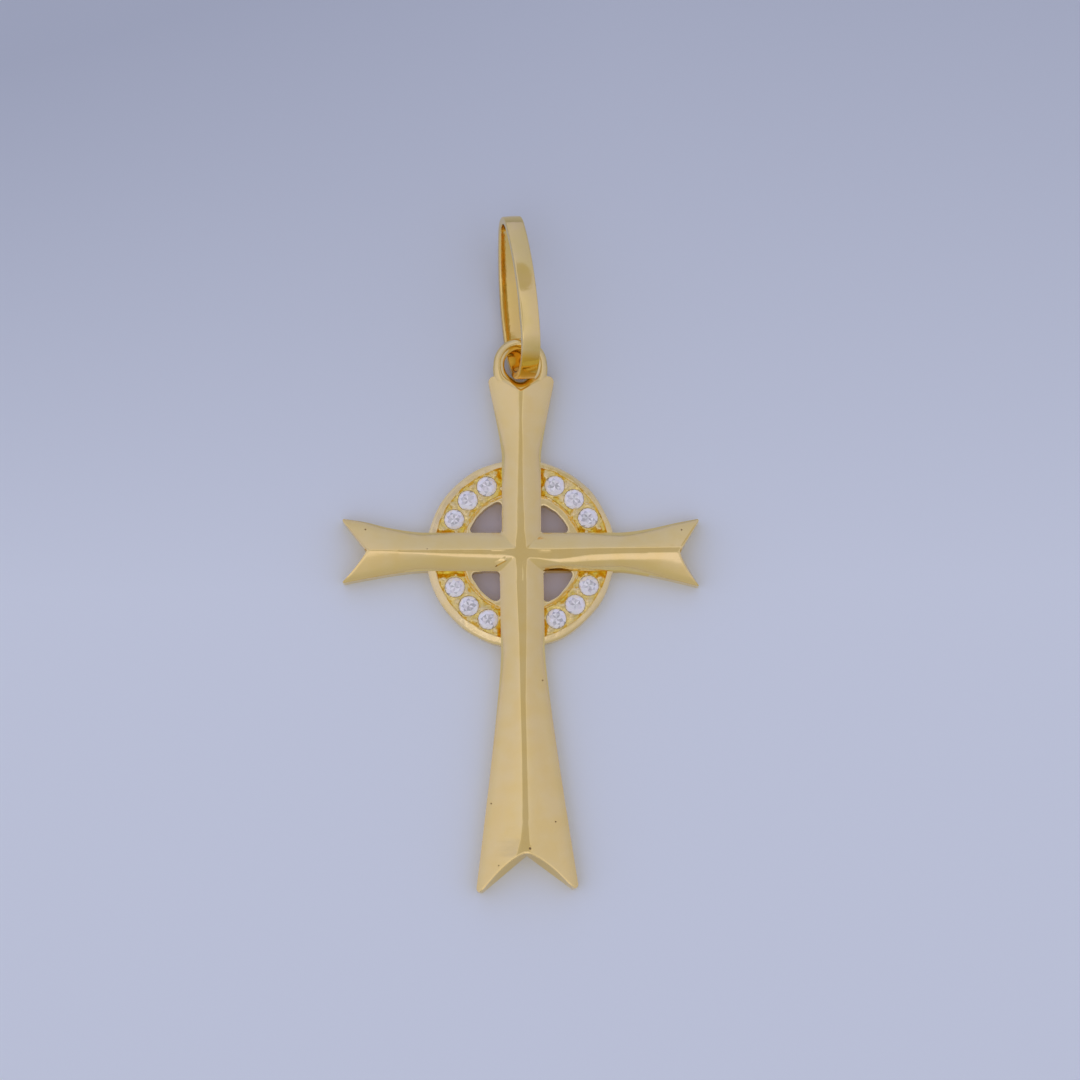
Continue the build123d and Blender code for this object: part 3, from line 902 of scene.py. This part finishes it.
def plate_height(x, y, fall):
    """Top of the ring plate: rims, graved channel with collars and mounds, and seats."""
    reach = np.hypot(x, y)
    out = np.hypot(x - RING_SHIFT[0], y - RING_SHIFT[1])
    outer = CHANNEL_OUTER_RADIUS + waves(x, y, OUTER_RIM_WAVES)
    inner = RING_INNER_RADIUS + INNER_RIM_WIDTH + waves(x, y, INNER_RIM_WAVES)
    rim_outer = np.clip((reach - outer) / OUTER_RIM_RISE, 0.0, 1.0)
    rim_inner = np.clip((inner - reach) / INNER_RIM_RISE, 0.0, 1.0)
    rim = np.maximum(rim_outer, rim_inner)
    rim = rim * rim * (3 - 2 * rim)
    slope = np.clip((out - outer) / (RING_OUTER_RADIUS - outer), 0.0, 1.0)
    crown = RIM_HEIGHT - RIM_FALL * slope + waves(x, y, RIM_WAVES)
    groove = inner - GROOVE_SETBACK - waves(x, y, GROOVE_WAVES)
    crown = crown - GROOVE_DEPTH * np.exp(-((reach - groove) / GROOVE_WIDTH) ** 2)
    channel = CHANNEL_HEIGHT + waves(x, y, CHANNEL_WAVES)
    beside = np.minimum(np.abs(np.abs(x) - ARM_WIDTH / 2), np.abs(np.abs(y) - ARM_WIDTH / 2))
    channel = channel - POCKET_DEPTH * np.exp(-(beside / POCKET_WIDTH) ** 2)
    nearest = np.min([np.hypot(x - cx, y - cy) for cx, cy in stone_centres()], axis=0)
    uneven = 0.5 + 0.5 * np.clip(waves(x, y, COLLAR_WAVES), -1.0, 1.0)
    collar = np.exp(-((nearest - STONE_RADIUS - COLLAR_GAP) / COLLAR_WIDTH) ** 2)
    channel = channel + COLLAR_HEIGHT * collar * uneven
    for spot, size in grain_spots():
        away = np.hypot(x - spot.x, y - spot.y) / (MOUND_SPREAD * size)
        channel = channel + MOUND_HEIGHT * np.exp(-away ** 2)
    channel = np.minimum(channel, RIM_HEIGHT - CHANNEL_LEAST_DEPTH)
    top = channel + (crown - channel) * rim - fall
    seat = GIRDLE_HEIGHT - SEAT_GAP - (STONE_RADIUS - nearest) * PAVILION_DEPTH / STONE_RADIUS
    return np.where(nearest < STONE_RADIUS + SEAT_GAP, np.minimum(seat, GIRDLE_HEIGHT), top)


def ring_plate():
    """Ring with rims, windows and drilled seats."""
    rim = []
    for x, y in circle(1.0, RIM_STEPS):
        bump = noise.noise(Vector((RIM_TURNS * x, RIM_TURNS * y, RIM_SEED)))
        reach = RING_OUTER_RADIUS + RIM_UNEVENNESS * bump
        rim.append((RING_SHIFT[0] + reach * x, RING_SHIFT[1] + reach * y))
    loops, radii, lines, points = [rim], [RIM_EDGE_RADIUS], [], []
    for row in WINDOWS:
        loops.append(window(*row))
        radii.append(WINDOW_EDGE_RADIUS)
    for centre in stone_centres():
        loops.append(circle(DRILL_RADIUS, DRILL_STEPS, centre)[::-1])
        radii.append(0.0)
        for offset in SEAT_RING_OFFSETS:
            ring = circle(STONE_RADIUS + SEAT_GAP + offset, SEAT_STEPS, centre)
            lines.append(ring + ring[:1])
    for radius in np.arange(*PLATE_ROWS, FINE_STEP):
        points += circle(radius, int(2 * math.pi * radius / FINE_STEP))
    coarse = np.arange(-RING_INNER_RADIUS, RING_INNER_RADIUS, COARSE_STEP)
    under = [(a, b) for a in coarse for b in coarse if math.hypot(a, b) < RING_INNER_RADIUS - END_GAP]
    points += [(a + PLATE_GRID_SHIFT[0], b + PLATE_GRID_SHIFT[1]) for a, b in under]
    return slab("ring_plate", loops, radii, lines, points, plate_height)


def dome(centre, size, height, base, seed):
    """Vertices and faces of one irregular, flat-topped bead of metal between two heights."""
    rows, sides = BEAD_ROWS, BEAD_SIDES
    tilt_x, tilt_y = (BEAD_TILT * noise.noise(Vector((seed, *place))) for place in BEAD_TILT_SEEDS)
    coords = []
    for i in range(rows):
        part = i / rows
        wide = size * math.sqrt(1 - part ** BEAD_FLATNESS)
        for across, along in circle(1.0, sides):
            depth = BEAD_SEEDS[0] * part + BEAD_SEEDS[1] * seed
            spot = Vector((across, along, depth)) * BEAD_TURNS
            bump = 1 + BEAD_UNEVENNESS * noise.noise(spot)
            x, y = wide * bump * across, wide * bump * along
            lift = (height - base) * part + part * (x * tilt_x + y * tilt_y)
            coords.append((centre[0] + x, centre[1] + y, base + lift))
    coords.append((centre[0], centre[1], height))
    last = (rows - 1) * sides
    faces = band_faces(rows, sides)[:last]
    faces += [(last + k, last + (k + 1) % sides, rows * sides) for k in range(sides)]
    faces.append(tuple(range(sides - 1, -1, -1)))
    return coords, faces


def grains():
    """Tops of the grains raised from the channel, pressed over the edges of the stones."""
    coords, faces = [], []
    shuffle = random.Random(GRAIN_TOP_DRAW)
    for number, (spot, size) in enumerate(grain_spots()):
        part = dome(spot, size, shuffle.uniform(*GRAIN_TOPS), GRAIN_FOOT, number)
        base = len(coords)
        coords += part[0]
        faces += [tuple(base + k for k in face) for face in part[1]]
    return make_mesh("grains", coords, faces, GRAIN_SHARP_ANGLE)


def wire_loop():
    """Teardrop of round wire whose point is soldered into the notch of the upper arm.

    Below its middle the wire is hammered wider, outwards only."""
    half = math.radians(LOOP_HALF_ANGLE)
    tip_y = LOOP_SEAT + (LOOP_WIRE_RADIUS - LOOP_SOLDER_DEPTH) / math.sin(half)
    centre = (LOOP_SHIFT, tip_y + LOOP_RADIUS / math.sin(half))
    small_centre = (LOOP_SHIFT, tip_y + LOOP_TIP_RADIUS / math.sin(half))

    def leg(start, stop):
        shares = [k / LOOP_LEG_STEPS for k in range(1, LOOP_LEG_STEPS)]
        return [tuple(Vector(start).lerp(Vector(stop), share)) for share in shares]

    def sideways(line, k):
        ahead = (line[(k + 1) % len(line)] - line[k - 1]).normalized()
        return Vector((-ahead.y, ahead.x, 0.0))

    large = arc(centre, LOOP_RADIUS, -half, math.pi + half, LOOP_STEPS)
    small = arc(small_centre, LOOP_TIP_RADIUS, math.pi + half, 2 * math.pi - half, LOOP_TIP_STEPS)
    plan = large + leg(large[-1], small[0]) + small + leg(small[-1], large[0])
    path = [Vector((x, y, LOOP_HEIGHT)) for x, y in plan]
    moved, widths = [], []
    for k, spot in enumerate(path):
        turn = math.degrees(math.atan2(spot.y - centre[1], abs(spot.x - LOOP_SHIFT)))
        extra = float(np.interp(-turn, LOOP_EXTRA_TURNS, LOOP_EXTRA))
        moved.append(spot - sideways(path, k) * extra / 2)
        widths.append(LOOP_WIRE_RADIUS + extra / 2)
    coords = []
    for k, (spot, width) in enumerate(zip(moved, widths)):
        side = sideways(moved, k)
        for out, up in circle(1.0, LOOP_SIDES):
            coords.append(tuple(spot + side * out * width + Vector((0, 0, up * LOOP_WIRE_RADIUS))))
    return make_mesh("wire_loop", coords, band_faces(len(moved), LOOP_SIDES))


def bail_section():
    """Section of the bail's band: depths below its outer face and places across it."""
    corner = BAIL_EDGE
    half = BAIL_WIDTH / 2 - corner
    deep = BAIL_THICKNESS - corner
    edges = []
    centres = ((corner, half), (deep, half), (deep, -half), (corner, -half))
    for quarter, (depth, across) in enumerate(centres):
        turns = [math.pi / 2 * (quarter + k / BAIL_EDGE_STEPS) for k in range(BAIL_EDGE_STEPS + 1)]
        edges.append([(depth - corner * math.cos(turn), across + corner * math.sin(turn)) for turn in turns])
    outer = [(-BAIL_OUTER_SWELL * (1 - row * row), row * half) for row in BAIL_ROWS]
    inner = [(BAIL_THICKNESS + BAIL_INNER_SWELL * (1 - row * row), -row * half) for row in BAIL_ROWS]
    return edges[3] + outer + edges[0] + edges[1] + inner + edges[2]


def bail_band():
    """Flat band bent into an oval, with softened edges."""
    lower, upper, side = BAIL_LOWER_RADIUS, BAIL_UPPER_RADIUS, BAIL_SIDE_RADIUS
    run = BAIL_LENGTH - lower - upper
    side_x = ((side - lower) ** 2 - (side - upper) ** 2 + run ** 2) / (2 * run)
    side_y = math.sqrt((side - lower) ** 2 - side_x ** 2)
    low_turn = math.atan2(side_y, -side_x)
    up_turn = math.atan2(side_y, run - side_x)
    arcs = [
        ((run, 0.0), upper, -up_turn, up_turn, BAIL_UPPER_STEPS),
        ((side_x, -side_y), side, up_turn, low_turn, BAIL_SIDE_STEPS),
        ((0.0, 0.0), lower, low_turn, 2 * math.pi - low_turn, BAIL_LOWER_STEPS),
        ((side_x, side_y), side, 2 * math.pi - low_turn, 2 * math.pi - up_turn, BAIL_SIDE_STEPS),
    ]
    section = bail_section()
    joint = frame["joints"][0]
    hinge = Vector(joint["pos_m"]) / MM
    across = Vector(joint["axis"]).normalized()
    along = Vector((0, 0, 1)).cross(across).normalized()
    up = across.cross(along)
    coords = []
    for centre, radius, first, last, count in arcs:
        rings = [arc(centre, radius - depth, first, last, count) for depth, _ in section]
        for k in range(count):
            for ring, (_, offset) in zip(rings, section):
                x, y = ring[k]
                coords.append(tuple(hinge + along * x + up * y + across * (offset + BAIL_SIDESTEP)))
    faces = [(a, d, c, b) for a, b, c, d in band_faces(sum(row[-1] for row in arcs), len(section))]
    return make_mesh("bail_band", coords, faces, BAIL_SHARP_ANGLE)


def brilliant(node, number):
    """Round brilliant in place of a stone's solid, with a painted shade for each facet, standing in for its
    light and dark flashes.
    """
    low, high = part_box(node)
    middle = (low + high) / 2 / MM
    first = math.atan2(middle.y, middle.x) + STONE_TURN * number
    shuffle = random.Random(STONE_DRAW + number)
    table, upper, girdle, culet = high.z / MM, GIRDLE_HEIGHT + STONE_BELT, GIRDLE_HEIGHT, low.z / MM
    step = math.pi / 8
    fall = (table - upper) / (1 - TABLE_SHARE)
    star_z = table - fall * (STAR_SHARE * math.cos(step) - TABLE_SHARE)
    lower_z = culet + (girdle - culet) * PAVILION_BREAK * math.cos(step)
    coords = [(middle.x, middle.y, table)]
    rings = (
        (TABLE_SHARE * TABLE_MAIN_SHARE, table, 8, 1),
        (TABLE_SHARE, table, 8, 0),
        (STAR_SHARE, star_z, 8, 1),
        (1.0, upper, 16, 0),
        (1.0, girdle, 16, 0),
        (PAVILION_BREAK, lower_z, 8, 1),
    )
    for share, z, count, offset in rings:
        start = first + offset * step
        plan = arc(middle, share * STONE_RADIUS, start, start + 2 * math.pi, count)
        coords += [(x, y, z) for x, y in plan[:-1]]
    coords.append((middle.x, middle.y, culet))
    inner, edge, star, rim, belt, low_ring, tip = 1, 9, 17, 25, 41, 57, 65
    faces, shades = [], []
    for k in range(8):
        m, back = (k + 1) % 8, (k - 1) % 8
        i, j, h = 2 * k, (2 * k + 1) % 16, (2 * k - 1) % 16
        facets = [
            ("table main", (0, inner + back, edge + k, inner + k)),
            ("table edge", (inner + k, edge + k, edge + m)),
            ("star", (edge + k, star + k, edge + m)),
            ("kite", (edge + k, star + back, rim + i, star + k)),
            ("upper left", (star + k, rim + i, rim + j)),
            ("upper right", (star + back, rim + h, rim + i)),
            ("girdle", (rim + i, belt + i, belt + j, rim + j)),
            ("girdle", (rim + h, belt + h, belt + i, rim + i)),
            ("pavilion", (belt + i, low_ring + k, belt + j)),
            ("pavilion", (belt + h, low_ring + back, belt + i)),
            ("pavilion", (belt + i, low_ring + back, tip, low_ring + k)),
        ]
        for kind, face in facets:
            shade, spread = FACET_SHADES[kind][k % 2], FACET_SHADES[kind][2]
            dark_flash = shade < DARK_FLASH_LIMIT and shuffle.random() < DARK_FLASH_SHARE
            faces.append(face)
            shades.append(DARK_FLASH_SHADE if dark_flash else shade + shuffle.uniform(-spread, spread))
    obj = make_mesh(f"brilliant_{number:02d}", coords, faces, STONE_SHARP_ANGLE)
    # The facets' painted flashes, kept as a colour for each corner
    layer = obj.data.color_attributes.new("shade", "FLOAT_COLOR", "CORNER")
    for polygon, shade in zip(obj.data.polygons, shades):
        for corner in polygon.loop_indices:
            layer.data[corner].color = (shade, shade, shade, 1.0)
    return obj


def new_material(name):
    """Material with an empty node tree."""
    material = bpy.data.materials.new(name)
    material.use_nodes = True
    material.node_tree.nodes.clear()
    return material, material.node_tree


def add(tree, kind, sockets, **settings):
    """New shader node with its settings made and its sockets linked or set."""
    node = tree.nodes.new("ShaderNode" + kind)
    for name, value in settings.items():
        setattr(node, name, value)
    for name, value in sockets.items():
        if isinstance(value, bpy.types.NodeSocket):
            tree.links.new(value, node.inputs[name])
        else:
            node.inputs[name].default_value = value
    return node


def surface(tree, sockets):
    """Principled shader with its sockets linked or set, as the surface of a material."""
    shader = add(tree, "BsdfPrincipled", sockets)
    add(tree, "OutputMaterial", {"Surface": shader.outputs["BSDF"]})


def maths(tree, operation, *values):
    """Result of a sum on numbers or number sockets."""
    return add(tree, "Math", dict(enumerate(values)), operation=operation).outputs[0]


def measured(tree, operation, *vectors):
    """Length or distance on vectors or vector sockets."""
    return add(tree, "VectorMath", dict(enumerate(vectors)), operation=operation).outputs["Value"]


def noise_node(tree, place, row):
    """Noise over a place socket, from turns for each millimetre, detail and roughness."""
    scale, detail, roughness = row
    sockets = {"Vector": place, "Scale": scale / MM, "Detail": detail, "Roughness": roughness}
    return add(tree, "TexNoise", sockets).outputs["Fac"]


def ranged(tree, value, from_low, from_high, to_low=0.0, to_high=1.0):
    """Value mapped from one range to another, clamped."""
    sockets = {"Value": value, "From Min": from_low, "From Max": from_high}
    sockets.update({"To Min": to_low, "To Max": to_high})
    return add(tree, "MapRange", sockets).outputs["Result"]


def mixed(tree, factor, low, high, blend="MIX"):
    """Mix of two colours or colour sockets."""
    low, high = [(*colour, 1.0) if isinstance(colour, tuple) else colour for colour in (low, high)]
    sockets = {"Factor": factor, "A": low, "B": high}
    return add(tree, "Mix", sockets, data_type="RGBA", blend_type=blend).outputs["Result"]


def gold_material(name, colour, pale, deep, where, joined, roughness, scratch, pitted, pits):
    """Mottled, finely scratched and pitted yellow gold, with painted shade: a deeper colour in some places
    and dark pits.
    """
    material, tree = new_material(name)
    coordinate = add(tree, "TexCoord", {})
    place = coordinate.outputs["Object"]
    flat = add(tree, "VectorMath", {0: place, 1: (1.0, 1.0, 0.0)}, operation="MULTIPLY").outputs["Vector"]
    quantities = {
        "height": (add(tree, "SeparateXYZ", {0: place}).outputs["Z"], MM),
        "reach": (measured(tree, "LENGTH", flat), MM),
        "upward": (add(tree, "SeparateXYZ", {0: coordinate.outputs["Normal"]}).outputs["Z"], 1.0),
    }
    # Share of the plain colour; the rest is the deep colour, painted shade
    plain = None
    for quantity, low, high, least in where:
        value, unit = quantities[quantity]
        share = ranged(tree, value, low * unit, high * unit, least, 1.0)
        plain = share if plain is None else maths(tree, "MAXIMUM" if joined else "MINIMUM", plain, share)
    blotch = noise_node(tree, place, BLOTCH_NOISE)
    tone = mixed(tree, ranged(tree, blotch, *BLOTCH_SPREAD), colour, pale)
    tone = mixed(tree, plain, deep, tone)
    # Painted shade: dark colour in small random pit cells and over the listed pits
    cells = add(tree, "TexVoronoi", {"Vector": place, "Scale": PIT_CELLS / MM})
    chance = add(tree, "SeparateColor", {0: cells.outputs["Color"]}).outputs[0]
    hole = ranged(tree, cells.outputs["Distance"], *PIT_CELL_REACH, 1.0, 0.0)
    chosen = ranged(tree, chance, 1.0 - pitted, 1.0 - pitted + 0.01)
    tone = mixed(tree, maths(tree, "MULTIPLY", hole, chosen), tone, PIT_PAINTED_SHADE)
    for arm, along, aside, radius in pits:
        x, y = back_turned(along * MM, aside * MM, ARMS[arm]["turn"])
        gap = measured(tree, "DISTANCE", flat, (x, y, 0.0))
        near = ranged(tree, gap, PIT_BLUR * radius * MM, radius * MM, 1.0, 0.0)
        tone = mixed(tree, near, tone, PIT_PAINTED_SHADE)
    polish = noise_node(tree, place, POLISH_NOISE)
    scratches = {"Strength": SCRATCH_STRENGTH, "Distance": scratch * MM}
    scratches["Height"] = noise_node(tree, place, SCRATCH_NOISE)
    surface(tree, {
        "Base Color": tone,
        "Metallic": 1.0,
        "Roughness": ranged(tree, polish, *POLISH_SPREAD, *(roughness * share for share in POLISH_RANGE)),
        "Normal": add(tree, "Bump", scratches).outputs["Normal"],
    })
    return material


def stone_material():
    """Clear faceted stone with its facets' light and dark flashes painted into its colour, and a faint
    painted glow.
    """
    material, tree = new_material("clear_stone")
    layer = add(tree, "VertexColor", {}, layer_name="shade")
    # Painted glint: the tint varies with noise
    glint = noise_node(tree, add(tree, "TexCoord", {}).outputs["Object"], GLINT_NOISE)
    tint = mixed(tree, ranged(tree, glint, *GLINT_SPREAD), *STONE_TINTS)
    surface(tree, {
        "Base Color": mixed(tree, 1.0, layer.outputs["Color"], tint, "MULTIPLY"),
        "Metallic": 0.10,
        "Roughness": 0.04,
        "IOR": 2.2,
        "Transmission Weight": 0.08,
        # Painted glow, standing in for light the stone returns
        "Emission Color": (1.0, 0.98, 1.0, 1.0),
        "Emission Strength": 0.06,
    })
    return material


def floor():
    """Pale table with painted light: a painted falloff, darker towards the bail end, and a painted shadow
    inside the ring's windows.
    """
    size = FLOOR_SIZE
    coords = [(-size, -size, 0.0), (size, -size, 0.0), (size, size, 0.0), (-size, size, 0.0)]
    obj = make_mesh("table_top", coords, [(0, 1, 2, 3)])
    material, tree = new_material("table")
    place = add(tree, "TexCoord", {}).outputs["Object"]
    split = add(tree, "SeparateXYZ", {0: place})
    along = ranged(tree, split.outputs["Y"], *(MM * y for y in FLOOR_ALONG))
    aside = ranged(tree, split.outputs["X"], *(MM * x for x in FLOOR_ASIDE))
    gain = maths(tree, "MULTIPLY_ADD", aside, FLOOR_ASIDE_GAIN, 1.0)
    # Painted falloff of light over the open table
    open_floor = mixed(tree, maths(tree, "MULTIPLY", along, gain), FLOOR_NEAR, FLOOR_FAR)
    # Painted shadow under the ring, seen through its windows
    beyond = ranged(tree, measured(tree, "LENGTH", place), *(MM * reach for reach in FLOOR_PAINTED_SHADOW_REACH))
    surface(tree, {"Base Color": mixed(tree, beyond, FLOOR_PAINTED_SHADOW, open_floor), "Roughness": 0.6})
    obj.data.materials.append(material)


def camera():
    """Camera at the photo's steep angle."""
    tilt = Matrix.Rotation(math.radians(CAMERA_TILT), 4, "X")
    matrix = tilt @ Matrix.Rotation(math.radians(CAMERA_ROLL), 4, "Z")
    matrix.translation = (Vector(CAMERA_TARGET) + matrix.col[2].xyz * CAMERA_DISTANCE) * MM
    data = bpy.data.cameras.new("camera")
    data.lens = CAMERA_LENS
    data.sensor_width = CAMERA_SENSOR
    data.clip_start = CAMERA_CLIP * MM
    obj = bpy.data.objects.new("camera", data)
    obj.matrix_world = matrix
    bpy.context.scene.collection.objects.link(obj)
    bpy.context.scene.camera = obj


def sky():
    """Soft studio light: a bright ring about a dimmer zenith, with tints and patches."""
    world = bpy.data.worlds.new("studio")
    bpy.context.scene.world = world
    world.use_nodes = True
    tree = world.node_tree
    tree.nodes.clear()
    direction = add(tree, "TexCoord", {}).outputs["Generated"]
    split = add(tree, "SeparateXYZ", {0: direction})
    ramp = add(tree, "ValToRGB", {"Fac": split.outputs["Z"]})
    while len(ramp.color_ramp.elements) < len(SKY_RINGS):
        ramp.color_ramp.elements.new(0.5)
    for element, (place, colour) in zip(ramp.color_ramp.elements, SKY_RINGS):
        element.position = place
        element.color = (*colour, 1.0)
    light = ramp.outputs["Color"]
    for axis, first, last, tint in SKY_TINTS:
        light = mixed(tree, ranged(tree, split.outputs[axis], first, last), light, tint, "MULTIPLY")
    for middle, reach, patch in SKY_PATCHES:
        near = ranged(tree, measured(tree, "DISTANCE", direction, middle), *reach, 1.0, 0.0)
        light = mixed(tree, near, light, patch)
    background = add(tree, "Background", {"Color": light, "Strength": 1.0})
    add(tree, "OutputWorld", {"Surface": background.outputs["Background"]})


golds = {name: gold_material(name, **row) for name, row in GOLDS.items()}
stone = stone_material()
floor()
camera()
sky()

cross_pieces = (
    (cross_arms(), "yellow_gold"),
    (wire_loop(), "yellow_gold"),
    (ring_plate(), "graved_gold"),
    (grains(), "graved_gold"),
)
for piece, gold in cross_pieces:
    piece.data.materials.append(golds[gold])
    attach(piece, "cross")
    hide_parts("cross")
band = bail_band()
band.data.materials.append(golds["bail_gold"])
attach(band, "bail")
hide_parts("bail")
for number, node in enumerate(STONE_NODES, 1):
    piece = brilliant(node, number)
    piece.data.materials.append(stone)
    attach(piece, "cross")
    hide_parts(node)

bpy.context.scene.view_settings.view_transform = "Standard"
